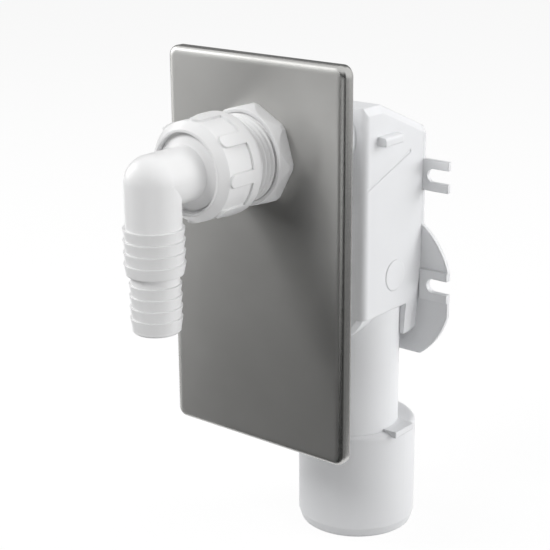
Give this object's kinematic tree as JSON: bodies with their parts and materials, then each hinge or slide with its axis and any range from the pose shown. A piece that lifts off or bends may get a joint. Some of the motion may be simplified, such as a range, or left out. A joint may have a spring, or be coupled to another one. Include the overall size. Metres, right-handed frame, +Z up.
{
  "type": "washing machine standpipe trap",
  "caption": "Concealed washing machine trap: barbed hose elbow and union nut on a threaded inlet, pressed wall plate, water-seal housing with fixing flange and stepped outlet spigot.",
  "frame": {"origin": "on the outlet spigot's axis, at the lower end of its straight wall", "axes": "+Z up along the outlet, +Y towards the wall behind the rear plate, +X to the right seen from behind the hose"},
  "size_m": [0.084, 0.1574, 0.21],
  "materials": {
    "white_plastic": "satin moulded polypropylene",
    "black_rubber": "matt",
    "stainless_sheet": "satin brushed"
  },
  "bodies": {
    "root": {"trap_body": "white_plastic", "dip_partition": "white_plastic", "rear_plate": "white_plastic", "outlet_pipe": "white_plastic", "inlet_tube": "white_plastic", "inlet_ring": "black_rubber", "cover_plate": "stainless_sheet", "plate_lock_ring": "white_plastic", "union_nut": "white_plastic", "union_seal": "black_rubber", "hose_elbow": "white_plastic"}
  },
  "joints": []
}
